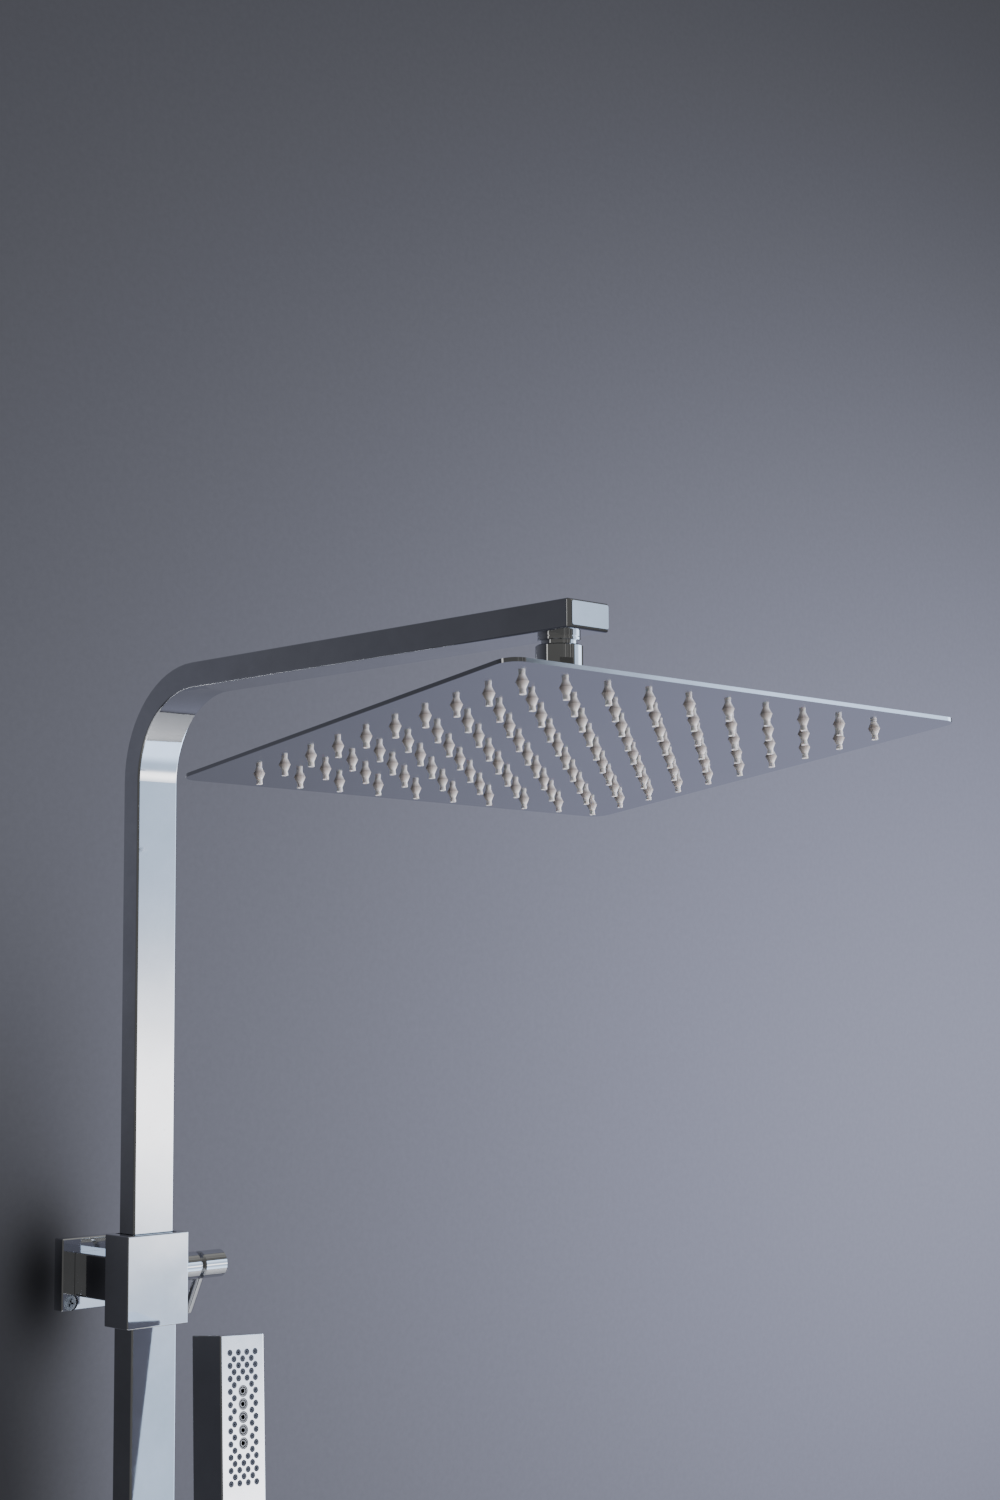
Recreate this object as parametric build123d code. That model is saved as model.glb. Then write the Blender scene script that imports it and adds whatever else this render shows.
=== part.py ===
"""Rainfall shower column: telescopic rectangular riser, thin square overhead head and a stick handset.

Row frame, millimetres: +X right along the wall, +Y into the wall (wall face at Y = 0), +Z up.
The origin is the centre of the upper wall flange's back face.
"""
from build123d import *
from math import cos, radians, sin
import os

os.makedirs("parts", exist_ok=True)

# ---------------------------------------------------------------- driving dimensions
COLUMN_Y = -58.0          # column centre plane, in front of the wall

# upper tube and arm
TUBE_W, TUBE_D = 26.0, 13.5
TUBE_EDGE_R = 1.2
TUBE_WALL = 1.2
BEND_OUTER_R = 60.0
ARM_TOP_Z = 328.0
ARM_END_Y = -392.2
RISER_FOOT_Z = -270.0
CAP_T = 4.0
CAP_EDGE_R = 3.0

# lower tube
LOWER_W, LOWER_D = 29.2, 16.7
LOWER_EDGE_R = 1.3
LOWER_WALL = 1.4
LOWER_BORE_R = 1.3
LOWER_TOP_Z = -4.0
LOWER_FOOT_Z = -858.0

# collar and wall stub
COLLAR_W, COLLAR_D = 39.5, 21.2
COLLAR_Y = -58.8
COLLAR_LOW_Z, COLLAR_TOP_Z = -23.3, 25.3
STUB_W, STUB_H = 23.0, 23.6
STUB_WALL = 2.0
FLANGE_SIDE, FLANGE_T = 39.0, 7.8
SPIGOT_LEN = 14.0
SCREW_X, SCREW_Z = 13.8, 15.2
SCREW_R, SCREW_SHANK_R, SCREW_HEAD_R = 2.1, 1.7, 4.2
SCREW_INTO_WALL = 30.0
SCREW_TIP = 4.0

# clamp lever
LEVER_Z = 5.3
HUB_R = 7.5
HUB_BASE_END_X = 31.7
HUB_CAP_X = 33.9
HUB_END_X = 49.1
HUB_BORE_X = 43.0
LEVER_PIN_X = 37.3
LEVER_PIN_R = 2.75
LEVER_PIN_LEN = 30.0
LEVER_LEAN = 28.0         # degrees from straight down, towards the wall
CLAMP_SCREW_R = 3.0

# overhead head
HEAD_SIDE = 250.0
HEAD_CORNER_R = 8.0
HEAD_AXIS_Y = -372.4
BALL_Z = 276.0
BALL_R = 8.0
BALL_OVER_FACE = 15.0     # ball centre above the spray face
FACE_T = 0.7
TOP_T = 1.05
MAT_T = 0.4
MAT_SIDE = 238.0
NOZZLES_PER_SIDE = 10
NOZZLE_PITCH = 21.9
NOZZLE_BASE_R, NOZZLE_NECK_R, NOZZLE_TIP_R = 2.65, 1.25, 1.45
NOZZLE_LEN = 5.0
NOZZLE_SHOULDER = 2.9     # length of the wide foot
NOZZLE_JET_R = 0.5
HEAD_TILT_FRONT = -6.18   # degrees about X, front edge raised
HEAD_TILT_SIDE = 1.76     # degrees about Y
HEAD_SWIVEL = -6.84       # degrees about Z

# handset
HANDSET_W, HANDSET_D = 28.3, 24.6
HANDSET_LEN = 179.0
PLUG_LEN = 8.0            # part of the end fitting inside the casing
HANDSET_TOP = (11.9, -127.0, -22.6)   # middle of the front face's top edge
HANDSET_LEAN = -5.8       # degrees about X, foot further from the wall
HANDSET_SIDE_LEAN = 3.2   # degrees about Y, top further to the right
HANDSET_WALL = 1.6
SPRAY_ROWS = 21
SPRAY_ROW_PITCH = 3.24
SPRAY_TOP = 8.9           # first spray row below the handset's top
SPRAY_HOLE_R = 1.65
JET_R = 3.0
CONE_TOP_R, CONE_LOW_R = 11.6, 10.8
CONE_LEN = 28.0
HALF_INCH_R = 10.48       # outside of a G1/2 thread
THREAD_LEN = 12.0

# slider and handset holder
SLIDER_W, SLIDER_D = 41.0, 29.6
SLIDER_LOW_Z, SLIDER_TOP_Z = -243.0, -197.0
LINER_W, LINER_D = 33.0, 20.4
PIVOT_Y, PIVOT_Z = -88.0, -219.6
PIVOT_R = 3.0
TONGUE_HALF = 7.5
EAR_T = 4.0
EAR_R = 8.0

# diverter
DIVERTER_W = 42.0
DIVERTER_FRONT_Y, DIVERTER_BACK_Y = -80.0, -36.0
DIVERTER_LOW_Z, DIVERTER_TOP_Z = -905.0, -824.0
VALVE_Z = -878.0
LOWER_FLANGE_Z = -864.0
CARTRIDGE_R = 11.9
SPINDLE_R = 4.0
KNOB_SIDE = 34.0

RUN = 0.08                # radial clearance of a running fit
GAP = 0.3                 # clearance between parts that move past each other
SLIP = 0.1                # clearance between parts that are assembled and stay


# ---------------------------------------------------------------- helpers
def block(x0, x1, y0, y1, z0, z1):
    """Box given by its two corners."""
    return Pos((x0 + x1) / 2, (y0 + y1) / 2, (z0 + z1) / 2) * Box(x1 - x0, y1 - y0, z1 - z0)


def rod_x(r, x0, x1, y, z):
    """Cylinder along X."""
    return Pos((x0 + x1) / 2, y, z) * Rot(0, 90, 0) * Cylinder(r, x1 - x0)


def rod_y(r, x, y0, y1, z):
    """Cylinder along Y."""
    return Pos(x, (y0 + y1) / 2, z) * Rot(90, 0, 0) * Cylinder(r, y1 - y0)


def rod_z(r, x, y, z0, z1):
    """Cylinder along Z."""
    return Pos(x, y, (z0 + z1) / 2) * Cylinder(r, z1 - z0)


def round_bar(w, d, r, z0, z1, y=COLUMN_Y):
    """Upright bar of rounded rectangular section."""
    return Pos(0, y, z0) * extrude(RectangleRounded(w, d, r), z1 - z0)


def save(name, *solids):
    """Write one node as STEP: one solid, or a group of separate solids."""
    shape = solids[0] if len(solids) == 1 else Compound(children=list(solids))
    export_step(shape, f"parts/{name}.step")


# ---------------------------------------------------------------- riser tube and arm
ARM_MID_Z = ARM_TOP_Z - TUBE_D / 2
BEND_MID_R = BEND_OUTER_R - TUBE_D / 2
BEND_Y = COLUMN_Y - BEND_MID_R
BEND_Z = ARM_MID_Z - BEND_MID_R


def riser_sweep(inset, foot_z, end_y):
    """Inverted L of rounded rectangular section, smaller all round by inset."""
    w, d = TUBE_W - 2 * inset, TUBE_D - 2 * inset
    r = TUBE_EDGE_R - min(inset, TUBE_EDGE_R - 1)
    leg = round_bar(w, d, r, foot_z, BEND_Z)
    section = Pos(0, COLUMN_Y, BEND_Z) * RectangleRounded(w, d, r)
    bend = revolve(section, Axis((0, BEND_Y, BEND_Z), (1, 0, 0)), 90)
    arm_start = Plane((0, BEND_Y, ARM_MID_Z), x_dir=(1, 0, 0), z_dir=(0, -1, 0))
    arm = extrude(arm_start * RectangleRounded(w, d, r), BEND_Y - end_y)
    return leg + bend + arm


def build_riser():
    tube_end_y = ARM_END_Y + CAP_T
    tube = riser_sweep(0, RISER_FOOT_Z, tube_end_y)
    tube -= riser_sweep(TUBE_WALL, RISER_FOOT_Z - 5, tube_end_y - 5)
    outlet_z = ARM_TOP_Z - TUBE_D
    tube -= rod_z(6.0, 0, HEAD_AXIS_Y, outlet_z - 1, outlet_z + TUBE_WALL + 1)
    save("riser_arm", tube)

    plug_w, plug_d = TUBE_W - 2 * TUBE_WALL - 2 * SLIP, TUBE_D - 2 * TUBE_WALL - 2 * SLIP
    face = Plane((0, ARM_END_Y, ARM_MID_Z), x_dir=(1, 0, 0), z_dir=(0, 1, 0))
    cap = extrude(face * Rectangle(TUBE_W, TUBE_D), CAP_T)
    cap = fillet(cap.faces().sort_by(Axis.Y)[0].edges(), CAP_EDGE_R)
    cap &= extrude(face * RectangleRounded(TUBE_W, TUBE_D, TUBE_EDGE_R), CAP_T)
    cap += extrude(face * RectangleRounded(plug_w, plug_d, 1), CAP_T + 7)
    save("arm_end_cap", cap)

    gland = round_bar(TUBE_W, TUBE_D, TUBE_EDGE_R, RISER_FOOT_Z - 16, RISER_FOOT_Z)
    gland += round_bar(plug_w, plug_d, 1, RISER_FOOT_Z - 1, RISER_FOOT_Z + 10)
    groove = round_bar(TUBE_W + 2, TUBE_D + 2, 2, RISER_FOOT_Z - 11, RISER_FOOT_Z - 6)
    groove -= round_bar(TUBE_W - 4, TUBE_D - 4, 1, RISER_FOOT_Z - 12, RISER_FOOT_Z - 5)
    gland -= groove
    gland -= rod_z(3.2, 0, COLUMN_Y, RISER_FOOT_Z - 20, RISER_FOOT_Z + 12)
    save("riser_gland", gland)

    seal = round_bar(TUBE_W + 0.2, TUBE_D + 0.2, TUBE_EDGE_R, RISER_FOOT_Z - 10.6, RISER_FOOT_Z - 6.4)
    seal -= round_bar(TUBE_W - 4 + SLIP, TUBE_D - 4 + SLIP, 1, RISER_FOOT_Z - 12, RISER_FOOT_Z - 5)
    save("riser_seal", seal)


# ---------------------------------------------------------------- outlet and ball joint
NIPPLE_R = 8.33           # outside of a G3/8 thread
RING_R = 9.95
NUT_R = 11.0
NUT_TOP_Z, NUT_LOW_Z = 309.3, 288.5
NUT_FLAT_TOP_Z = 302.7
NUT_FLAT_ANGLE = 242.0
NUT_FLAT_DEPTH = 0.45


def build_outlet():
    under = ARM_TOP_Z - TUBE_D
    ring_low = under - 3.3
    nipple = rod_z(RING_R, 0, HEAD_AXIS_Y, ring_low, under)
    groove = rod_z(RING_R + 1, 0, HEAD_AXIS_Y, under - 1.85, under - 1.45)
    nipple -= groove - rod_z(RING_R - 0.7, 0, HEAD_AXIS_Y, under - 2, under - 1)
    nipple = chamfer(nipple.edges().filter_by(GeomType.CIRCLE).sort_by(Axis.Z)[0], 0.3)
    nipple += rod_z(NIPPLE_R, 0, HEAD_AXIS_Y, 300, ring_low)
    nipple += rod_z(6.0 - SLIP, 0, HEAD_AXIS_Y, under, under + 3)
    nipple -= rod_z(4.5, 0, HEAD_AXIS_Y, 299, under + 4)
    save("arm_outlet_nipple", nipple)

    nut = rod_z(NUT_R, 0, HEAD_AXIS_Y, NUT_LOW_Z, NUT_TOP_Z)
    nut = chamfer(nut.edges().filter_by(GeomType.CIRCLE), 0.5)
    for turn in (NUT_FLAT_ANGLE, NUT_FLAT_ANGLE + 180):
        cut = block(NUT_R - NUT_FLAT_DEPTH, NUT_R + 2, -9, 9, NUT_LOW_Z - 1, NUT_FLAT_TOP_Z)
        nut -= Pos(0, HEAD_AXIS_Y, 0) * Rot(0, 0, turn) * cut
    nut -= rod_z(NIPPLE_R + SLIP, 0, HEAD_AXIS_Y, 292, NUT_TOP_Z + 1)
    nut -= rod_z(5.6, 0, HEAD_AXIS_Y, NUT_LOW_Z - 1, 293)
    save("swivel_nut", nut)

    washer = rod_z(NIPPLE_R, 0, HEAD_AXIS_Y, 297.6, 299.6) - rod_z(4, 0, HEAD_AXIS_Y, 297, 300)
    save("filter_washer", washer)

    stud = rod_z(NIPPLE_R, 0, HEAD_AXIS_Y, 292, 297.4)
    stud += rod_z(5.5, 0, HEAD_AXIS_Y, NUT_LOW_Z, 292)
    stud += rod_z(4, 0, HEAD_AXIS_Y, BALL_Z, NUT_LOW_Z)
    stud += Pos(0, HEAD_AXIS_Y, BALL_Z) * Sphere(BALL_R)
    stud -= rod_z(2.4, 0, HEAD_AXIS_Y, BALL_Z - BALL_R - 1, 298)
    save("ball_stud", stud)

    shell = Sphere(BALL_R + 1.6) - Sphere(BALL_R + 0.2)
    seat = Pos(0, HEAD_AXIS_Y, BALL_Z) * (shell & block(-12, 12, -12, 12, -4.6, -1.8))
    save("ball_seat_ring", seat)
    friction = Pos(0, HEAD_AXIS_Y, BALL_Z) * (shell & block(-12, 12, -12, 12, 1.8, 5.0))
    save("ball_friction_ring", friction)


# ---------------------------------------------------------------- overhead head
def head_place():
    """Head frame: origin at the ball centre, Z along the head's normal."""
    turn = Rot(0, 0, HEAD_SWIVEL) * Rot(0, HEAD_TILT_SIDE, 0) * Rot(HEAD_TILT_FRONT, 0, 0)
    return Pos(0, HEAD_AXIS_Y, BALL_Z) * turn


def nozzle_points():
    first = -NOZZLE_PITCH * (NOZZLES_PER_SIDE - 1) / 2
    steps = [first + NOZZLE_PITCH * i for i in range(NOZZLES_PER_SIDE)]
    return [(x, y) for x in steps for y in steps]


def sheet(side, r, z0, z1):
    return Pos(0, 0, z0) * extrude(RectangleRounded(side, side, r), z1 - z0)


def build_head():
    place = head_place()
    face_low = -BALL_OVER_FACE
    face_top = face_low + FACE_T
    top_low, top_high = face_top, face_top + TOP_T
    cavity_r = BALL_R + 1.8

    holes = [Pos(x, y, face_low) * Cylinder(NOZZLE_BASE_R + SLIP, 4 * FACE_T) for x, y in nozzle_points()]
    save("head_face_plate", place * (sheet(HEAD_SIDE, HEAD_CORNER_R, face_low, face_top) - holes))

    top = sheet(HEAD_SIDE, HEAD_CORNER_R, top_low, top_high)
    top -= sheet(MAT_SIDE + 1, 3, top_low - 1, top_low + MAT_T + 0.15)
    top -= rod_z(4, 0, 0, top_low - 1, top_high + 1)
    save("head_top_sheet", place * top)

    tip_low = face_low - NOZZLE_LEN
    neck_z = face_low - NOZZLE_SHOULDER
    cone = Pos(0, 0, (face_low + neck_z) / 2) * Cone(NOZZLE_NECK_R, NOZZLE_BASE_R, NOZZLE_SHOULDER)
    cone += Pos(0, 0, (neck_z + tip_low) / 2) * Cone(NOZZLE_TIP_R, NOZZLE_NECK_R, neck_z - tip_low)
    cone += rod_z(NOZZLE_BASE_R, 0, 0, face_low, top_low + 0.2)
    cone -= rod_z(NOZZLE_JET_R, 0, 0, tip_low - 1, tip_low + 2.5)
    mat = sheet(MAT_SIDE, 3, top_low, top_low + MAT_T)
    mat += [Pos(x, y, 0) * cone for x, y in nozzle_points()]
    save("nozzle_mat", place * mat)

    boss = rod_z(22, 0, 0, top_high, top_high + 2.2) + rod_z(17, 0, 0, top_high, -1)
    boss = chamfer(boss.edges().filter_by(GeomType.CIRCLE).sort_by(Axis.Z)[-1], 1)
    oring = Pos(0, 0, -8.2) * Torus(4.2, 1.05)
    boss -= Sphere(cavity_r) + rod_z(13, 0, 0, -5, 0)
    boss -= Pos(0, 0, -8.2) * Torus(4.2, 1.1)
    boss -= rod_z(2.5, 0, 0, top_high - 1, -6)
    save("socket_boss", place * boss)
    save("ball_oring", place * oring)

    retainer = rod_z(15, 0, 0, -1, 7)
    retainer = fillet(retainer.edges().filter_by(GeomType.CIRCLE).sort_by(Axis.Z)[-1], 2)
    retainer += rod_z(13 - SLIP, 0, 0, -4.9, -1)
    retainer -= Sphere(cavity_r) + rod_z(cavity_r, 0, 0, -6, 0) + rod_z(7.2, 0, 0, 0, 8)
    save("socket_nut", place * retainer)


# ---------------------------------------------------------------- collar, lever and wall brackets
def wall_stub(z, y_front):
    """Square hollow stub from a body's back to just short of the wall flange."""
    outer = block(-STUB_W / 2, STUB_W / 2, y_front, -FLANGE_T - 0.2, z - STUB_H / 2, z + STUB_H / 2)
    outer = fillet(outer.edges().filter_by(Axis.Y), 1.0)
    in_w, in_h = STUB_W / 2 - STUB_WALL, STUB_H / 2 - STUB_WALL
    hollow = block(-in_w, in_w, -FLANGE_T - SPIGOT_LEN - 3, -FLANGE_T, z - in_h, z + in_h)
    return outer - hollow - rod_z(2.0, 0, -FLANGE_T - SPIGOT_LEN / 2, z - STUB_H, z)


def build_wall_bracket(name, z):
    """Square flange with a spigot, its two wall screws and the grub screw under the stub."""
    half = FLANGE_SIDE / 2
    flange = block(-half, half, -FLANGE_T, 0, z - half, z + half)
    flange = fillet(flange.edges().filter_by(Axis.Y), 0.8)
    flange = chamfer(flange.faces().sort_by(Axis.Y)[0].edges(), 0.6)
    in_w, in_h = STUB_W / 2 - STUB_WALL - 0.4, STUB_H / 2 - STUB_WALL - 0.4
    spigot = block(-in_w, in_w, -FLANGE_T - SPIGOT_LEN, -1, z - in_h, z + in_h)
    flange += spigot
    grub_y = -FLANGE_T - SPIGOT_LEN / 2
    flange -= rod_z(1.9, 0, grub_y, z - STUB_H, z - in_h + 1.5)
    screws = []
    for side in (-1, 1):
        x, sz = side * SCREW_X, z + side * SCREW_Z
        flange -= rod_y(SCREW_R + SLIP, x, -FLANGE_T - 1, 1, sz)
        flange -= rod_y(SCREW_HEAD_R + 0.3, x, -FLANGE_T - 1, -FLANGE_T + 3.2, sz)
        screw = rod_y(SCREW_SHANK_R, x, -FLANGE_T + 3.2, 0, sz)
        screw += rod_y(SCREW_R, x, 0, SCREW_INTO_WALL - SCREW_TIP, sz)
        point = Cone(SCREW_R, 0.3, SCREW_TIP, rotation=(-90, 0, 0))
        screw += Pos(x, SCREW_INTO_WALL - SCREW_TIP / 2, sz) * point
        head = rod_y(SCREW_HEAD_R, x, -FLANGE_T + 0.7, -FLANGE_T + 3.2, sz)
        cross = block(-2.2, 2.2, -1.3, 1.3, -0.45, 0.45) + block(-0.45, 0.45, -1.3, 1.3, -2.2, 2.2)
        head -= Pos(x, -FLANGE_T + 0.7, sz) * Rot(0, 20, 0) * cross
        screws.append(screw + head)
    save(f"{name}_wall_flange", flange)
    save(f"{name}_wall_screws", *screws)
    grub = rod_z(1.8, 0, grub_y, z - STUB_H / 2 + 0.3, z - in_h + 1.2)
    socket = Pos(0, grub_y, z - STUB_H / 2 + 0.2) * extrude(RegularPolygon(1.0, 6), 1.6)
    save(f"{name}_grub_screw", grub - socket)


def build_collar():
    back_y = COLLAR_Y + COLLAR_D / 2
    collar = block(-COLLAR_W / 2, COLLAR_W / 2, COLLAR_Y - COLLAR_D / 2, back_y, COLLAR_LOW_Z, COLLAR_TOP_Z)
    collar = fillet(collar.edges(), 0.7)
    collar += wall_stub(0, back_y - 1)
    bore_w, bore_d = LOWER_W + 2 * SLIP, LOWER_D + 2 * SLIP
    collar -= round_bar(bore_w, bore_d, LOWER_EDGE_R, COLLAR_LOW_Z - 1, COLLAR_TOP_Z + 1)
    shoe_seat_x = 16.6
    collar -= rod_x(4.2, 13, shoe_seat_x, COLLAR_Y, LEVER_Z)
    collar -= rod_x(CLAMP_SCREW_R + RUN, 13, 21, COLLAR_Y, LEVER_Z)
    save("collar_body", collar)

    bush_low = LOWER_TOP_Z + 0.2
    in_w, in_d = LOWER_W - 2 * LOWER_WALL, LOWER_D - 2 * LOWER_WALL
    bush = round_bar(LOWER_W, LOWER_D, LOWER_EDGE_R, bush_low, COLLAR_TOP_Z - 0.6)
    bush -= round_bar(in_w, in_d, LOWER_BORE_R, bush_low - 1, COLLAR_TOP_Z)
    bush -= rod_x(4.2, 12, 16, COLLAR_Y, LEVER_Z)
    save("collar_bush", bush)
    save("clamp_shoe", rod_x(4.0, TUBE_W / 2 + GAP, shoe_seat_x - GAP, COLLAR_Y, LEVER_Z))

    base = rod_x(HUB_R, COLLAR_W / 2, HUB_BASE_END_X, COLLAR_Y, LEVER_Z)
    base = chamfer(base.edges().filter_by(GeomType.CIRCLE).sort_by(Axis.X)[-1], 0.7)
    base -= rod_x(CLAMP_SCREW_R + RUN, COLLAR_W / 2 - 1, HUB_BASE_END_X + 1, COLLAR_Y, LEVER_Z)
    save("lever_base", base)


def build_lever():
    screw = rod_x(CLAMP_SCREW_R, 16.6, HUB_BORE_X, COLLAR_Y, LEVER_Z)
    lean = Pos(LEVER_PIN_X, COLLAR_Y, LEVER_Z) * Rot(LEVER_LEAN, 0, 0)
    pin = rod_z(LEVER_PIN_R, 0, 0, -LEVER_PIN_LEN, -CLAMP_SCREW_R - SLIP)
    pin = fillet(pin.edges().filter_by(GeomType.CIRCLE).sort_by(Axis.Z)[0], 0.8)
    pin = lean * pin
    cap = rod_x(HUB_R, HUB_CAP_X, HUB_END_X, COLLAR_Y, LEVER_Z)
    cap = chamfer(cap.edges().filter_by(GeomType.CIRCLE), 0.7)
    cap += rod_x(5.6, HUB_BASE_END_X + GAP, HUB_CAP_X + 1, COLLAR_Y, LEVER_Z)
    cap -= rod_x(CLAMP_SCREW_R, HUB_BASE_END_X, HUB_BORE_X, COLLAR_Y, LEVER_Z)
    cap -= lean * rod_z(LEVER_PIN_R, 0, 0, -LEVER_PIN_LEN, 0)
    save("clamp_screw", screw)
    save("lever_pin", pin)
    save("lever_cap", cap)


def build_lower_tube():
    tube = round_bar(LOWER_W, LOWER_D, LOWER_EDGE_R, LOWER_FOOT_Z, LOWER_TOP_Z)
    in_w, in_d = LOWER_W - 2 * LOWER_WALL, LOWER_D - 2 * LOWER_WALL
    tube -= round_bar(in_w, in_d, LOWER_BORE_R, LOWER_FOOT_Z - 1, LOWER_TOP_Z + 1)
    save("lower_tube", tube)


# ---------------------------------------------------------------- slider, holder and handset
def build_slider():
    half_w, half_d = SLIDER_W / 2, SLIDER_D / 2
    front_y = COLUMN_Y - half_d
    body = block(-half_w, half_w, front_y, COLUMN_Y + half_d, SLIDER_LOW_Z, SLIDER_TOP_Z)
    body = fillet(body.edges(), 1.2)
    for side in (-1, 1):
        x_in = side * (TONGUE_HALF + GAP)
        x_out = x_in + side * EAR_T
        x0, x1 = min(x_in, x_out), max(x_in, x_out)
        body += block(x0, x1, PIVOT_Y, front_y + 1.5, PIVOT_Z - EAR_R, PIVOT_Z + EAR_R)
        body += rod_x(EAR_R, x0, x1, PIVOT_Y, PIVOT_Z)
    body += rod_x(8, half_w - 1, half_w + 2, COLUMN_Y, PIVOT_Z)
    body -= rod_x(PIVOT_R, -20, 20, PIVOT_Y, PIVOT_Z)
    body -= round_bar(LINER_W + 2 * SLIP, LINER_D + 2 * SLIP, 3.6, SLIDER_LOW_Z - 1, SLIDER_TOP_Z + 1)
    body -= rod_x(CLAMP_SCREW_R + RUN, 15, half_w + 3, COLUMN_Y, PIVOT_Z)
    save("slider_body", body)

    liner = round_bar(LINER_W, LINER_D, 3.5, SLIDER_LOW_Z + 0.6, SLIDER_TOP_Z - 0.6)
    liner -= round_bar(LOWER_W + 2 * GAP, LOWER_D + 2 * GAP, LOWER_EDGE_R, SLIDER_LOW_Z, SLIDER_TOP_Z)
    save("slider_liner", liner)
    pin_half = TONGUE_HALF + GAP + EAR_T
    save("holder_pivot_pin", rod_x(PIVOT_R, -pin_half, pin_half, PIVOT_Y, PIVOT_Z))

    knob_x = half_w + 2 + GAP
    knob = rod_x(11, knob_x, knob_x + 15, COLUMN_Y, PIVOT_Z)
    knob = fillet(knob.edges().filter_by(GeomType.CIRCLE).sort_by(Axis.X)[-1], 2)
    for i in range(16):
        spot = Pos(knob_x + 9, COLUMN_Y, PIVOT_Z) * Rot(i * 22.5, 0, 0)
        knob -= spot * rod_x(0.7, -6, 8, 11.1, 0)
    knob -= rod_x(CLAMP_SCREW_R, knob_x - 1, knob_x + 10, COLUMN_Y, PIVOT_Z)
    save("slider_knob", knob)
    save("slider_knob_screw", rod_x(CLAMP_SCREW_R, LINER_W / 2 + GAP, knob_x + 10, COLUMN_Y, PIVOT_Z))


def handset_place():
    """Handset frame: origin at the top of the front face, +Y through its depth, Z along its length."""
    return Pos(*HANDSET_TOP) * Rot(HANDSET_LEAN, HANDSET_SIDE_LEAN, 0)


def build_cradle():
    place = handset_place()
    mid_y = HANDSET_D / 2
    top_z = -HANDSET_LEN - 3 - GAP
    low_z = top_z - 25
    cup = rod_z(16.5, 0, mid_y, low_z, top_z)
    cup = fillet(cup.edges().filter_by(GeomType.CIRCLE), 1.0)
    pivot = Pos(0, PIVOT_Y, PIVOT_Z)
    reach = (place.inverse() * pivot).position.Y - mid_y - 10
    tongue = block(-TONGUE_HALF, TONGUE_HALF, -reach, 0, -7.5, 7.5)
    tongue += rod_x(7.5, -TONGUE_HALF, TONGUE_HALF, 0, 0)
    cradle = place * cup + pivot * Rot(HANDSET_LEAN, 0, 0) * tongue
    cradle -= rod_x(PIVOT_R + RUN, -20, 20, PIVOT_Y, PIVOT_Z)
    bore = Pos(0, mid_y, top_z - CONE_LEN / 2 + GAP) * Cone(CONE_LOW_R + 0.4, CONE_TOP_R + 0.4, CONE_LEN)
    bore += rod_z(CONE_TOP_R + 0.4, 0, mid_y, top_z, top_z + 2)
    bore += block(-7.5, 7.5, mid_y - 20, mid_y, low_z - 1, top_z + 1)
    save("holder_cradle", cradle - place * bore)


def spray_points():
    """Small holes: rows of four and three, thinned to the outer pair beside the five centre jets."""
    points = []
    for row in range(SPRAY_ROWS):
        z = -SPRAY_TOP - SPRAY_ROW_PITCH * row
        xs = [-8.15, -2.72, 2.72, 8.15] if row % 2 == 0 else [-5.6, 0, 5.6]
        if 5 <= row <= 15:
            xs = [xs[0], xs[-1]]
        points += [(x, z) for x in xs]
    return points


def jet_points():
    return [(0, -SPRAY_TOP - SPRAY_ROW_PITCH * row) for row in (6, 8, 10, 12, 14)]


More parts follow.
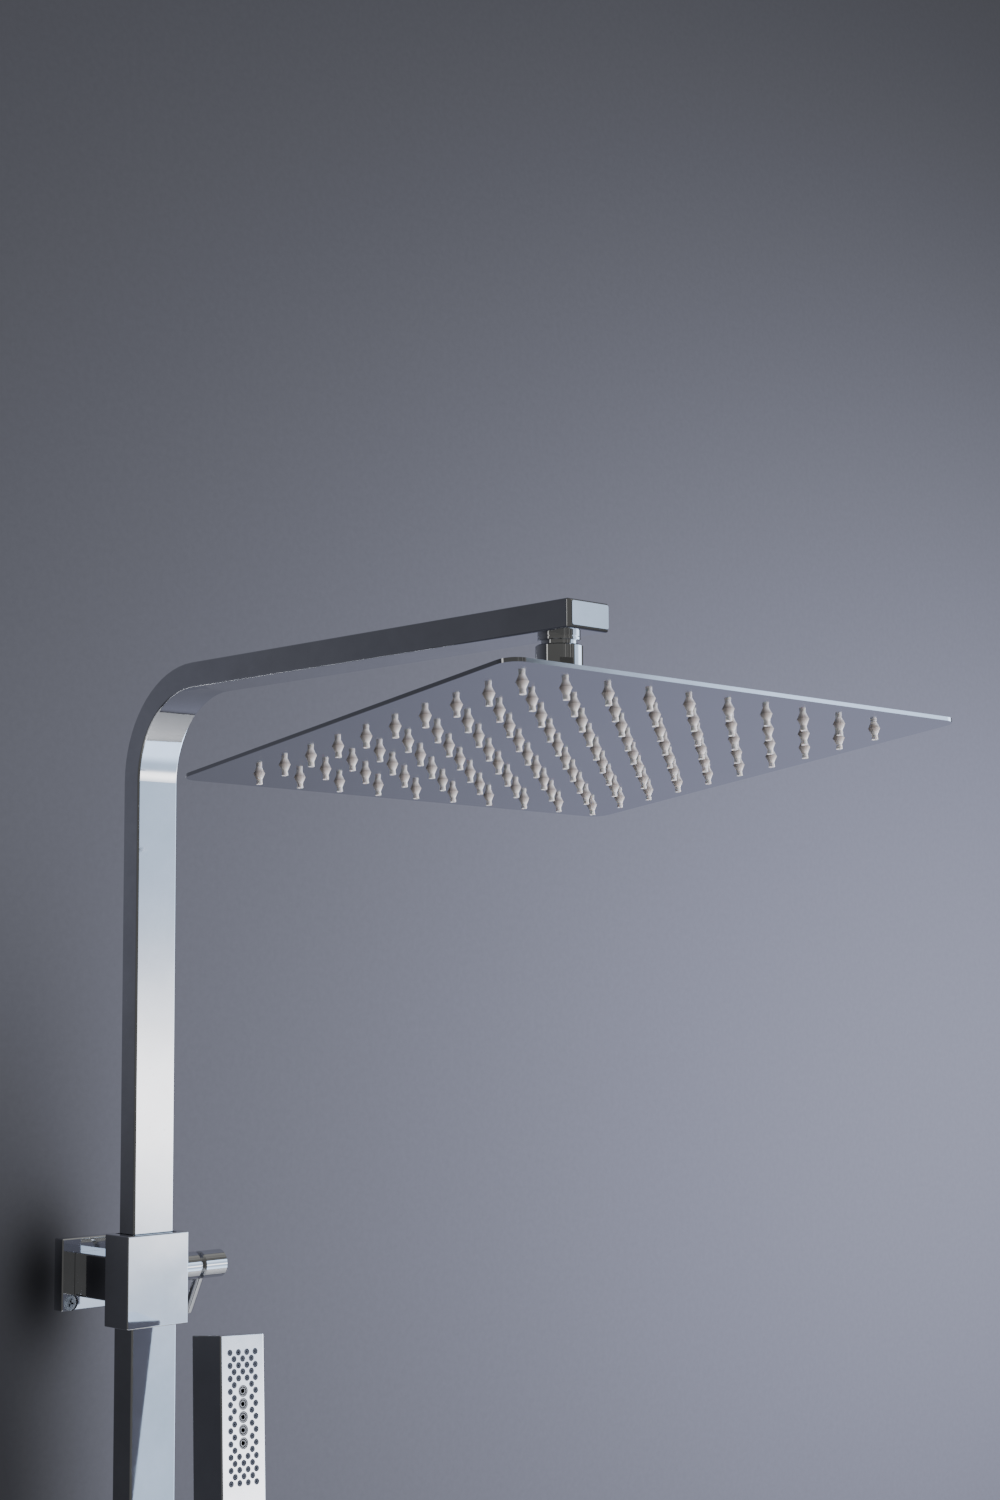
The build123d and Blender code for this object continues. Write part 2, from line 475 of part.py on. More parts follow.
def build_handset():
    place = handset_place()
    half = HANDSET_W / 2
    mid_y = HANDSET_D / 2
    inner = half - 2.0
    body = block(-half, half, 0, HANDSET_D, -HANDSET_LEN, 0)
    body = fillet(body.edges().filter_by(Axis.Z), 0.9)
    body = fillet(body.faces().sort_by(Axis.Z)[-1].edges(), 0.6)
    body -= block(-inner, inner, HANDSET_WALL, HANDSET_D - 2, -HANDSET_LEN - 1, -2.5)
    body -= [rod_y(SPRAY_HOLE_R, x, -1, 3, z) for x, z in spray_points()]
    body -= [rod_y(JET_R, x, -1, 3, z) for x, z in jet_points()]
    save("handset_body", place * body)

    mat = block(-inner + 0.4, inner - 0.4, HANDSET_WALL, HANDSET_WALL + 1.2, -80, -4)
    mat += [rod_y(SPRAY_HOLE_R - 0.15, x, 0.1, HANDSET_WALL + 0.5, z) for x, z in spray_points()]
    mat -= [rod_y(0.35, x, -1, 4, z) for x, z in spray_points()]
    mat -= [rod_y(JET_R, x, -1, 4, z) for x, z in jet_points()]
    save("handset_nozzle_mat", place * mat)

    jets = []
    for x, z in jet_points():
        jet = rod_y(JET_R - SLIP, x, 0.25, 2.8, z)
        jet -= rod_y(2.1, x, 0, 0.7, z) - rod_y(1.6, x, -1, 1, z)
        jet -= rod_y(0.85, x, -1, 4, z)
        jets.append(place * jet)
    save("handset_jets", *jets)

    plug_top = -HANDSET_LEN + PLUG_LEN
    core = block(-inner + 0.3, inner - 0.3, 3.0, HANDSET_D - 2.3, plug_top + 0.2, -3)
    core -= block(-9.5, 9.5, 2, 7.5, -77, -7)
    core -= rod_z(4.5, 0, 13.5, plug_top - 1, -12) + block(-4, 4, 7, 13.5, -30, -12)
    save("handset_core", place * core)

    fitting_low = -HANDSET_LEN - 3 - CONE_LEN
    fitting = block(-half, half, 0, HANDSET_D, -HANDSET_LEN - 3, -HANDSET_LEN)
    fitting = fillet(fitting.edges().filter_by(Axis.Z), 0.9)
    fitting += block(-inner + 0.3, inner - 0.3, 1.9, HANDSET_D - 2.3, -HANDSET_LEN, plug_top)
    fitting += Pos(0, mid_y, fitting_low + CONE_LEN / 2) * Cone(CONE_LOW_R, CONE_TOP_R, CONE_LEN)
    fitting += rod_z(HALF_INCH_R, 0, mid_y, fitting_low - THREAD_LEN, fitting_low)
    fitting -= rod_z(6.0, 0, mid_y, fitting_low - THREAD_LEN - 1, plug_top + 1)
    save("handset_end_fitting", place * fitting)

    limiter = rod_z(6.0 - SLIP, 0, mid_y, fitting_low + 8, fitting_low + 11)
    for i in range(6):
        turn = radians(60 * i)
        limiter -= Pos(3 * cos(turn), mid_y + 3 * sin(turn), fitting_low + 9.5) * Cylinder(0.8, 5)
    save("handset_flow_limiter", place * limiter)


# ---------------------------------------------------------------- diverter at the foot
def build_diverter():
    half = DIVERTER_W / 2
    bore_r = CARTRIDGE_R + SLIP
    bore_end_y = -54.0
    body = block(-half, half, DIVERTER_FRONT_Y, DIVERTER_BACK_Y, DIVERTER_LOW_Z, DIVERTER_TOP_Z)
    body = fillet(body.edges(), 1.0)
    body += wall_stub(LOWER_FLANGE_Z, DIVERTER_BACK_Y - 1)
    socket_w, socket_d = LOWER_W + 2 * SLIP, LOWER_D + 2 * SLIP
    body -= round_bar(socket_w, socket_d, LOWER_EDGE_R, LOWER_FOOT_Z - 2, DIVERTER_TOP_Z + 1)
    body -= rod_y(bore_r, 0, DIVERTER_FRONT_Y - 1, bore_end_y, VALVE_Z)
    body -= rod_z(4.5, 0, COLUMN_Y, VALVE_Z, LOWER_FOOT_Z)
    body -= rod_z(6.0, 0, COLUMN_Y, DIVERTER_LOW_Z - 1, VALVE_Z)
    body -= rod_x(6.0, -half - 1, 0, COLUMN_Y, VALVE_Z)
    save("diverter_body", body)

    seal = round_bar(LOWER_W, LOWER_D, LOWER_EDGE_R, LOWER_FOOT_Z - 1.9, LOWER_FOOT_Z - 0.1)
    save("tube_foot_seal", seal - rod_z(5.5, 0, COLUMN_Y, LOWER_FOOT_Z - 3, LOWER_FOOT_Z))

    cartridge = rod_y(CARTRIDGE_R, 0, DIVERTER_FRONT_Y, -62.4, VALVE_Z)
    cartridge += rod_y(14.5, 0, DIVERTER_FRONT_Y - 3, DIVERTER_FRONT_Y, VALVE_Z)
    cartridge -= rod_y(SPINDLE_R + RUN, 0, DIVERTER_FRONT_Y - 4, -62, VALVE_Z)
    save("diverter_cartridge", cartridge)

    moving = rod_y(10.5, 0, -62, -59.4, VALVE_Z) - block(0, 7, -63, -59, VALVE_Z, VALVE_Z + 7)
    save("moving_valve_disc", moving)
    fixed = rod_y(10.5, 0, -59.1, -56.5, VALVE_Z)
    for turn in (radians(45), radians(135), radians(270)):
        fixed -= rod_y(2.2, 5.5 * cos(turn), -60, -56, VALVE_Z + 5.5 * sin(turn))
    save("fixed_valve_disc", fixed)
    save("valve_seal", Pos(0, -55.3, VALVE_Z) * Rot(90, 0, 0) * Torus(9.0, 1.1))

    knob_y = DIVERTER_FRONT_Y - 3 - GAP
    face = Plane((0, knob_y, VALVE_Z), x_dir=(1, 0, 0), z_dir=(0, -1, 0))
    knob = extrude(face * RectangleRounded(KNOB_SIDE, KNOB_SIDE, 4), 19)
    knob = fillet(knob.faces().sort_by(Axis.Y)[0].edges(), 1.2)
    knob -= rod_y(SPINDLE_R, 0, knob_y - 13, knob_y + 1, VALVE_Z)
    knob -= block(-0.6, 0.6, knob_y - 20, knob_y - 18.4, VALVE_Z + 5, VALVE_Z + 13)
    knob -= rod_z(1.8, 0, knob_y - 8, VALVE_Z - KNOB_SIDE, VALVE_Z - SPINDLE_R)
    save("diverter_knob", knob)
    grub = rod_z(1.8 - SLIP, 0, knob_y - 8, VALVE_Z - 12, VALVE_Z - SPINDLE_R - SLIP)
    save("knob_grub_screw", grub)
    save("diverter_spindle", rod_y(SPINDLE_R, 0, knob_y - 13, -62, VALVE_Z))

    inlet = rod_z(HALF_INCH_R, 0, COLUMN_Y, DIVERTER_LOW_Z - 2 - THREAD_LEN, DIVERTER_LOW_Z)
    inlet += rod_z(12.5, 0, COLUMN_Y, DIVERTER_LOW_Z - 2, DIVERTER_LOW_Z)
    inlet += rod_z(6.0 - SLIP, 0, COLUMN_Y, DIVERTER_LOW_Z, DIVERTER_LOW_Z + 8)
    inlet -= rod_z(4.8, 0, COLUMN_Y, DIVERTER_LOW_Z - 20, DIVERTER_LOW_Z + 9)
    save("inlet_nipple", inlet)

    outlet = rod_x(HALF_INCH_R, -half - 2 - THREAD_LEN, -half, COLUMN_Y, VALVE_Z)
    outlet += rod_x(12.5, -half - 2, -half, COLUMN_Y, VALVE_Z)
    outlet += rod_x(6.0 - SLIP, -half, -half + 7, COLUMN_Y, VALVE_Z)
    outlet -= rod_x(4.8, -half - 20, -half + 8, COLUMN_Y, VALVE_Z)
    save("hose_outlet_nipple", outlet)


build_riser()
build_outlet()
build_head()
build_collar()
build_lever()
build_wall_bracket("upper", 0)
build_wall_bracket("lower", LOWER_FLANGE_Z)
build_lower_tube()
build_slider()
build_cradle()
build_handset()
build_diverter()
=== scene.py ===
import math

import bmesh
import bpy
from mathutils import Euler, Matrix, Vector


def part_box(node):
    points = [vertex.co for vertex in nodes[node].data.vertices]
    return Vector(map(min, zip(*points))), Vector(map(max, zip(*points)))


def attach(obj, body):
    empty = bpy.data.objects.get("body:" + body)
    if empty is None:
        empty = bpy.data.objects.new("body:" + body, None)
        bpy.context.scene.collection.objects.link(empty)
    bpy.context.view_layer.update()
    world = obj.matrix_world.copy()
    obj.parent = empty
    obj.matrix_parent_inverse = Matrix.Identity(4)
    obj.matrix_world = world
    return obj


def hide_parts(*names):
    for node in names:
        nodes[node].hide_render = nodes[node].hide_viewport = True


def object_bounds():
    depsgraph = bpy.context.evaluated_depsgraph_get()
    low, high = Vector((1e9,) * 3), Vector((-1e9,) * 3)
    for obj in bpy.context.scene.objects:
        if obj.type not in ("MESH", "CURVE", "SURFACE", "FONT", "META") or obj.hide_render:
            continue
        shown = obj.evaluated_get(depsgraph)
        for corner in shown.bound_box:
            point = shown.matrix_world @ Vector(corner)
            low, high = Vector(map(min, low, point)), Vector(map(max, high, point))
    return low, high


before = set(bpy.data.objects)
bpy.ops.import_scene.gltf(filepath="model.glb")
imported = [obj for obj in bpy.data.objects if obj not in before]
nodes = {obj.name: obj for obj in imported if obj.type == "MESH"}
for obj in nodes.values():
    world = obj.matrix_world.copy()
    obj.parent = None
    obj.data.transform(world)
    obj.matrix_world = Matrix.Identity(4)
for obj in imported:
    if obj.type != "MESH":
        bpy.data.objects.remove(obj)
cad_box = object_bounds()


# ---------------------------------------------------------------- node helpers
class Graph:
    """Thin wrapper that adds and links shader nodes."""

    def __init__(self, tree):
        self.tree = tree
        tree.nodes.clear()

    def add(self, kind, inputs=None, **settings):
        node = self.tree.nodes.new(kind)
        for key, value in settings.items():
            setattr(node, key, value)
        for key, value in (inputs or {}).items():
            self.put(node.inputs[key], value)
        return node

    def put(self, socket, value):
        if isinstance(value, bpy.types.NodeSocket):
            self.tree.links.new(value, socket)
        else:
            socket.default_value = value

    def noise(self, vector, scale, detail=2.0, roughness=0.5):
        inputs = {"Vector": vector, "Scale": scale, "Detail": detail, "Roughness": roughness}
        return self.add("ShaderNodeTexNoise", inputs).outputs["Fac"]

    def remap(self, value, low, high, to_low, to_high, smooth=False):
        inputs = {"Value": value, "From Min": low, "From Max": high, "To Min": to_low, "To Max": to_high}
        kind = "SMOOTHSTEP" if smooth else "LINEAR"
        return self.add("ShaderNodeMapRange", inputs, interpolation_type=kind).outputs["Result"]

    def mix(self, factor, a, b):
        node = self.add("ShaderNodeMix", data_type="RGBA")
        self.put(node.inputs[0], factor)
        self.put(node.inputs[6], a)
        self.put(node.inputs[7], b)
        return node.outputs[2]

    def math(self, operation, a, b=0.0):
        return self.add("ShaderNodeMath", {0: a, 1: b}, operation=operation).outputs[0]

    def between(self, factor, a, b):
        """Float mix from a to b."""
        node = self.add("ShaderNodeMix", data_type="FLOAT")
        self.put(node.inputs[0], factor)
        self.put(node.inputs[2], a)
        self.put(node.inputs[3], b)
        return node.outputs[0]

    def stretch(self, vector, scale):
        return self.add("ShaderNodeMapping", {"Vector": vector, "Scale": scale}).outputs["Vector"]

    def bump(self, height, strength, distance):
        inputs = {"Height": height, "Strength": strength, "Distance": distance}
        return self.add("ShaderNodeBump", inputs).outputs["Normal"]


def new_material(name):
    material = bpy.data.materials.new(name)
    material.use_nodes = True
    graph = Graph(material.node_tree)
    out = graph.add("ShaderNodeOutputMaterial")
    shader = graph.add("ShaderNodeBsdfPrincipled")
    graph.put(out.inputs["Surface"], shader.outputs["BSDF"])
    place = graph.add("ShaderNodeTexCoord").outputs["Object"]
    return material, graph, shader, place


# ---------------------------------------------------------------- materials
def chrome(name, tint, roughness, waviness, grain_stretch=(1, 1, 1)):
    """Plated metal: mirror finish with faint casting waviness, water film and micro haze."""
    material, g, shader, place = new_material(name)
    film = g.noise(place, 38, 4, 0.6)
    spots = g.remap(g.noise(place, 420, 2), 0.66, 0.74, 0, 1, True)
    dark = [c * 0.9 for c in tint] + [1]
    g.put(shader.inputs["Base Color"], g.mix(g.remap(film, 0.35, 0.7, 0, 1), dark, [*tint, 1]))
    g.put(shader.inputs["Metallic"], 1.0)
    haze = g.remap(film, 0.3, 0.75, roughness * 0.6, roughness * 1.6)
    haze = g.math("ADD", haze, g.remap(spots, 0, 1, 0, 0.05))
    g.put(shader.inputs["Roughness"], haze)
    wave = g.noise(g.stretch(place, grain_stretch), 24, 1.5)
    g.put(shader.inputs["Normal"], g.bump(wave, 1.0, waviness))
    return material


def mirror_sheet(name):
    """Polished stainless sheet: mirror with a trace of the polishing lines."""
    material, g, shader, place = new_material(name)
    lines = g.noise(g.stretch(place, (6, 900, 900)), 1, 3)
    cloud = g.noise(place, 9, 3)
    g.put(shader.inputs["Base Color"], g.mix(cloud, [0.50, 0.51, 0.54, 1], [0.60, 0.61, 0.64, 1]))
    g.put(shader.inputs["Metallic"], 1.0)
    g.put(shader.inputs["Roughness"], g.remap(lines, 0.3, 0.7, 0.05, 0.11))
    g.put(shader.inputs["Normal"], g.bump(cloud, 1.0, 0.0004))
    return material


HEAD_TURN = (-6.18, 1.76, -6.84)        # degrees about X, then Y, then Z
HEAD_NORMAL = Euler([math.radians(a) for a in HEAD_TURN], "XYZ").to_matrix() @ Vector((0, 0, 1))
BALL_PLACE = Vector((0, -0.3724, 0.276))
BALL_OVER_FACE = 0.015
NOZZLE_SHADE_LEN = 0.0036               # how far the painted shade at the foot fades up a nozzle


def silicone(name):
    """Warm off-white silicone with painted shade at each nozzle's foot, and a fine moulding texture."""
    material, g, shader, place = new_material(name)
    tone = g.noise(place, 90, 3)
    unshaded_silicone = g.mix(tone, [0.84, 0.785, 0.765, 1], [0.93, 0.89, 0.875, 1])
    # painted shade: the colour darkens towards each nozzle's foot, by height above the face plate
    away = g.add("ShaderNodeVectorMath", {0: place, 1: BALL_PLACE}, operation="SUBTRACT").outputs["Vector"]
    dot = g.add("ShaderNodeVectorMath", {0: away, 1: -HEAD_NORMAL}, operation="DOT_PRODUCT")
    foot_shade_fade = g.remap(dot.outputs["Value"], BALL_OVER_FACE, BALL_OVER_FACE + NOZZLE_SHADE_LEN, 0, 1, True)
    # painted shade: brown-grey at the foot, fading to the unshaded silicone towards the tip
    g.put(shader.inputs["Base Color"], g.mix(foot_shade_fade, [0.42, 0.365, 0.345, 1], unshaded_silicone))
    g.put(shader.inputs["Roughness"], g.remap(tone, 0.3, 0.7, 0.38, 0.55))
    g.put(shader.inputs["Subsurface Weight"], 0.15)
    g.put(shader.inputs["Subsurface Radius"], (0.004, 0.003, 0.002))
    g.put(shader.inputs["Normal"], g.bump(g.noise(place, 1800, 2), 0.4, 0.0001))
    return material


def plain(name, dark, light, rough_low, rough_high, metallic=0.0, scale=120, relief=0.00008):
    """Moulded plastic, rubber, ceramic or raw metal with tone, gloss and surface variation."""
    material, g, shader, place = new_material(name)
    tone = g.noise(place, scale, 3)
    g.put(shader.inputs["Base Color"], g.mix(tone, [*dark, 1], [*light, 1]))
    g.put(shader.inputs["Metallic"], metallic)
    g.put(shader.inputs["Roughness"], g.remap(tone, 0.3, 0.7, rough_low, rough_high))
    g.put(shader.inputs["Normal"], g.bump(g.noise(place, scale * 12, 2), 0.5, relief))
    return material


LOOKS = {
    "tube_chrome": chrome("tube_chrome", (0.70, 0.71, 0.735), 0.045, 0.00025, (1, 1, 0.12)),
    "cast_chrome": chrome("cast_chrome", (0.70, 0.71, 0.735), 0.05, 0.0002),
    "turned_chrome": chrome("turned_chrome", (0.69, 0.70, 0.72), 0.04, 0.0001),
    "satin_chrome": chrome("satin_chrome", (0.81, 0.83, 0.88), 0.10, 0.00006),
    "mirror_sheet": mirror_sheet("mirror_sheet"),
    "silicone": silicone("silicone"),
    "dark_steel": plain("dark_steel", (0.16, 0.165, 0.17), (0.3, 0.3, 0.31), 0.25, 0.4, 1.0),
    "brass": plain("brass", (0.55, 0.38, 0.16), (0.75, 0.56, 0.27), 0.2, 0.32, 1.0),
    "black_rubber": plain("black_rubber", (0.012, 0.012, 0.013), (0.03, 0.03, 0.032), 0.5, 0.7),
    "dark_plastic": plain("dark_plastic", (0.03, 0.03, 0.033), (0.055, 0.055, 0.06), 0.4, 0.55),
    "grey_insert": plain("grey_insert", (0.03, 0.034, 0.046), (0.055, 0.06, 0.078), 0.6, 0.75),
    "jet_grey": plain("jet_grey", (0.21, 0.215, 0.235), (0.28, 0.285, 0.305), 0.3, 0.45),
    # painted shade: near-black for the jets' grooves and bores
    "jet_cavity_shade": plain("jet_cavity_shade", (0.008, 0.008, 0.010), (0.016, 0.016, 0.019), 0.4, 0.6),
    "ceramic": plain("ceramic", (0.76, 0.74, 0.70), (0.86, 0.85, 0.82), 0.15, 0.25),
}

LOOK_OF_NODE = {
    "tube_chrome": ["riser_arm", "lower_tube"],
    "cast_chrome": ["upper_wall_flange", "lower_wall_flange", "collar_body", "diverter_body",
                    "slider_body", "holder_cradle", "diverter_knob", "arm_end_cap"],
    "turned_chrome": ["lever_base", "lever_cap", "lever_pin", "arm_outlet_nipple", "swivel_nut",
                      "socket_boss", "socket_nut", "slider_knob", "diverter_cartridge", "inlet_nipple",
                      "hose_outlet_nipple", "holder_pivot_pin"],
    "satin_chrome": ["handset_body", "handset_end_fitting"],
    "mirror_sheet": ["head_top_sheet", "head_face_plate"],
    "silicone": ["nozzle_mat"],
    "dark_steel": ["upper_wall_screws", "lower_wall_screws", "upper_grub_screw", "lower_grub_screw",
                   "knob_grub_screw", "clamp_screw", "slider_knob_screw", "filter_washer"],
    "brass": ["ball_stud", "diverter_spindle"],
    "black_rubber": ["riser_seal", "tube_foot_seal", "valve_seal", "ball_oring"],
    "dark_plastic": ["collar_bush", "clamp_shoe", "slider_liner", "ball_seat_ring", "ball_friction_ring",
                     "riser_gland"],
    "jet_grey": ["handset_jets"],
    "grey_insert": ["handset_nozzle_mat", "handset_core", "handset_flow_limiter"],
    "ceramic": ["fixed_valve_disc", "moving_valve_disc"],
}

for look, members in LOOK_OF_NODE.items():
    for name in members:
        mesh = nodes[name].data
        mesh.materials.clear()
        mesh.materials.append(LOOKS[look])


# ---------------------------------------------------------------- detailed pieces
def lathe(name, rings, place, segments, looks):
    """Turned body from rings of (radius, height, look of the band up to the next ring).

    A radius may be a function of the turn angle, which is how a thread is cut.
    """
    verts, faces, bands = [], [], []
    for radius, height, _ in rings:
        for i in range(segments):
            turn = 2 * math.pi * i / segments
            r = radius(turn) if callable(radius) else radius
            verts.append(place @ Vector((r * math.cos(turn), r * math.sin(turn), height)))
    for row in range(len(rings)):
        following = (row + 1) % len(rings)
        for i in range(segments):
            j = (i + 1) % segments
            a, b = row * segments, following * segments
            faces.append((a + i, a + j, b + j, b + i))
            bands.append(rings[row][2])
    mesh = bpy.data.meshes.new(name)
    mesh.from_pydata(verts, [], faces)
    for look in looks:
        mesh.materials.append(LOOKS[look])
    for polygon, band in zip(mesh.polygons, bands):
        polygon.material_index = band
    finish_shading(mesh)
    piece = bpy.data.objects.new(name, mesh)
    bpy.context.scene.collection.objects.link(piece)
    return piece


def finish_shading(mesh, crease=32):
    """Outward normals, smooth over curves and crisp at edges."""
    shape = bmesh.new()
    shape.from_mesh(mesh)
    bmesh.ops.recalc_face_normals(shape, faces=shape.faces)
    shape.to_mesh(mesh)
    shape.free()
    mesh.shade_smooth()
    mesh.set_sharp_from_angle(angle=math.radians(crease))


THREAD_PITCH = 0.001814
THREAD_DEPTH = 0.00116
THREAD_STEPS = 8          # rings per turn of thread
THREAD_RUN_OUT = 0.0016
THREAD_LEAD_IN = 0.0012
TOOTH_SLOPE = 2.3         # flank steepness; the crest is flat where the slope runs past full depth
NIPPLE_CHAMFER = 0.0003
BORE_CHAMFER = 0.0006
NIPPLE_SEGMENTS = 72
NIPPLE_THREAD_LEN = 0.012
NIPPLE_RING_LEN = 0.002
NIPPLE_LEN = NIPPLE_THREAD_LEN + NIPPLE_RING_LEN


def thread_ring(outer_r, height, fade):
    """Radius round the axis at one height of a right-hand thread, with the crest worn flat."""
    def radius(turn):
        phase = (height / THREAD_PITCH - turn / (2 * math.pi)) % 1
        tooth = min(1.0, TOOTH_SLOPE * abs(phase - 0.5))
        return outer_r - THREAD_DEPTH * (1 - fade + fade * (1 - tooth))
    return radius


def threaded_nipple(name, node, place, spigot_len):
    """G1/2 nipple: wrench ring, helical thread with run-out and chamfer, water bore and spigot.

    Height 0 is the mounting face and the thread points to +Z.
    """
    outer_r, ring_r, bore_r, spigot_r = 0.01048, 0.0125, 0.0048, 0.0059
    root_r = outer_r - THREAD_DEPTH
    rings = [(spigot_r, -spigot_len, 0), (spigot_r, 0, 0), (ring_r, 0, 0),
             (ring_r, NIPPLE_RING_LEN - NIPPLE_CHAMFER, 0),
             (ring_r - NIPPLE_CHAMFER, NIPPLE_RING_LEN, 0), (root_r, NIPPLE_RING_LEN, 0)]
    count = int(NIPPLE_THREAD_LEN / THREAD_PITCH * THREAD_STEPS)
    for i in range(1, count):
        along = NIPPLE_THREAD_LEN * i / count
        height = NIPPLE_RING_LEN + along
        fade = min(1, along / THREAD_RUN_OUT, (NIPPLE_THREAD_LEN - along) / THREAD_LEAD_IN)
        rings.append((thread_ring(outer_r, height, fade), height, 0))
    rings += [(root_r, NIPPLE_LEN, 0), (bore_r + BORE_CHAMFER, NIPPLE_LEN, 0),
              (bore_r, NIPPLE_LEN - BORE_CHAMFER, 1), (bore_r, -spigot_len, 0)]
    piece = lathe(name, rings, place, NIPPLE_SEGMENTS, ("turned_chrome", "brass"))
    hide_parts(node)
    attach(piece, "column_base")


def build_nipples():
    """Water inlet pointing down and hose outlet pointing left."""
    low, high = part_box("inlet_nipple")
    centre = (low + high) / 2
    down = Matrix.Translation((centre.x, centre.y, low.z + NIPPLE_LEN)) @ Matrix.Rotation(math.pi, 4, "X")
    threaded_nipple("inlet_nipple_threaded", "inlet_nipple", down, spigot_len=0.008)
    low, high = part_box("hose_outlet_nipple")
    centre = (low + high) / 2
    left = Matrix.Translation((low.x + NIPPLE_LEN, centre.y, centre.z))
    left = left @ Matrix.Rotation(-math.pi / 2, 4, "Y")
    threaded_nipple("hose_outlet_nipple_threaded", "hose_outlet_nipple", left, spigot_len=0.007)


HANDSET_FRONT_TOP = Vector((0.0119, -0.127, -0.0226))
HANDSET_LEAN = math.radians(-5.8)
HANDSET_SIDE_LEAN = math.radians(3.2)
SPRAY_TOP = 0.0089
SPRAY_ROW_PITCH = 0.00324
JET_ROWS = (6, 8, 10, 12, 14)
JET_SEGMENTS = 48


def build_jets():
    """Five centre jets: pale outer ring and pale inner ring, with the groove and the mouth in near-black
    painted shade.
    """
    # band 1 is the near-black painted shade, on the groove, the bore and the hidden sides
    rings = [(0.00290, 0.0027, 1), (0.00290, 0.0005, 0), (0.00272, 0.00028, 0), (0.00218, 0.00028, 1),
             (0.00212, 0.0009, 1), (0.00176, 0.0009, 1), (0.00170, 0.0003, 0), (0.00118, 0.0003, 1),
             (0.00105, 0.0006, 1), (0.00100, 0.0027, 1)]
    for number, row in enumerate(JET_ROWS):
        place = Matrix.Translation(HANDSET_FRONT_TOP) @ Matrix.Rotation(HANDSET_LEAN, 4, "X")
        place = place @ Matrix.Rotation(HANDSET_SIDE_LEAN, 4, "Y")
        place = place @ Matrix.Translation((0, 0, -SPRAY_TOP - SPRAY_ROW_PITCH * row))
        place = place @ Matrix.Rotation(-math.pi / 2, 4, "X")
        jet = lathe(f"centre_jet_{number + 1}", rings, place, JET_SEGMENTS, ("jet_grey", "jet_cavity_shade"))
        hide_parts("handset_jets")
        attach(jet, "handset")


# ---------------------------------------------------------------- camera
CAMERA_PLACE = Vector((-0.7419, -1.0993, 0.1566))
CAMERA_HEADING = math.radians(44.09)    # from +Y towards +X
CAMERA_PITCH = math.radians(5.80)
CAMERA_ROLL = math.radians(-0.315)
CAMERA_LENS = 55.54
SENSOR_WIDTH = 36


def build_camera():
    heading, pitch, roll = CAMERA_HEADING, CAMERA_PITCH, CAMERA_ROLL
    level = math.cos(pitch)
    forward = Vector((math.sin(heading) * level, math.cos(heading) * level, math.sin(pitch)))
    level_right = Vector((math.cos(heading), -math.sin(heading), 0))
    level_up = level_right.cross(forward)
    right = level_right * math.cos(roll) + level_up * math.sin(roll)
    up = level_up * math.cos(roll) - level_right * math.sin(roll)
    data = bpy.data.cameras.new("camera")
    data.lens = CAMERA_LENS
    data.sensor_width = SENSOR_WIDTH
    camera = bpy.data.objects.new("camera", data)
    turn = Matrix((right, up, -forward)).transposed().to_4x4()
    camera.matrix_world = Matrix.Translation(CAMERA_PLACE) @ turn
    bpy.context.scene.collection.objects.link(camera)
    bpy.context.scene.camera = camera


# ---------------------------------------------------------------- studio
FLOOR_DROP = 0.08
FLOOR_RADIUS = 1.6
FLOOR_CENTRE_Y = -0.2
WALL_Y = 0.0004
WALL_LEFT, WALL_RIGHT = -1.2, 1.3
WALL_ABOVE = 0.85                       # wall above the object's highest point
# hues of the wall's painted glow, where it is dim and where it is bright
WALL_DIM = (0.975, 1.0, 1.17, 1)
WALL_BRIGHT = (0.96, 1.0, 1.34, 1)
WINDOW_WHITE = (0.77, 0.96, 1.24, 1)
STRIP_WHITE = (1.07, 0.985, 0.90, 1)
ROOM_GREY = (1.0, 0.99, 0.95, 1)

# brightness of the room's parts
CURTAIN_DARK, CURTAIN_LIGHT = 0.06, 0.24
ROOM_LEFT = 0.11
LAMP = 1.1
CEILING = 0.45
ROOM_FLOOR = 0.3
WINDOW_LEVEL, WINDOW_FOOT = 1.15, 2.3   # at eye level, and near its foot
WINDOW_TOP_GAIN = 1.1
WINDOW_RIGHT_GAIN = 2.6
STRIP = 3.1
STRIP_RISE, STRIP_HALF = -3.0, 2.9      # degrees above level, and half the strip's height


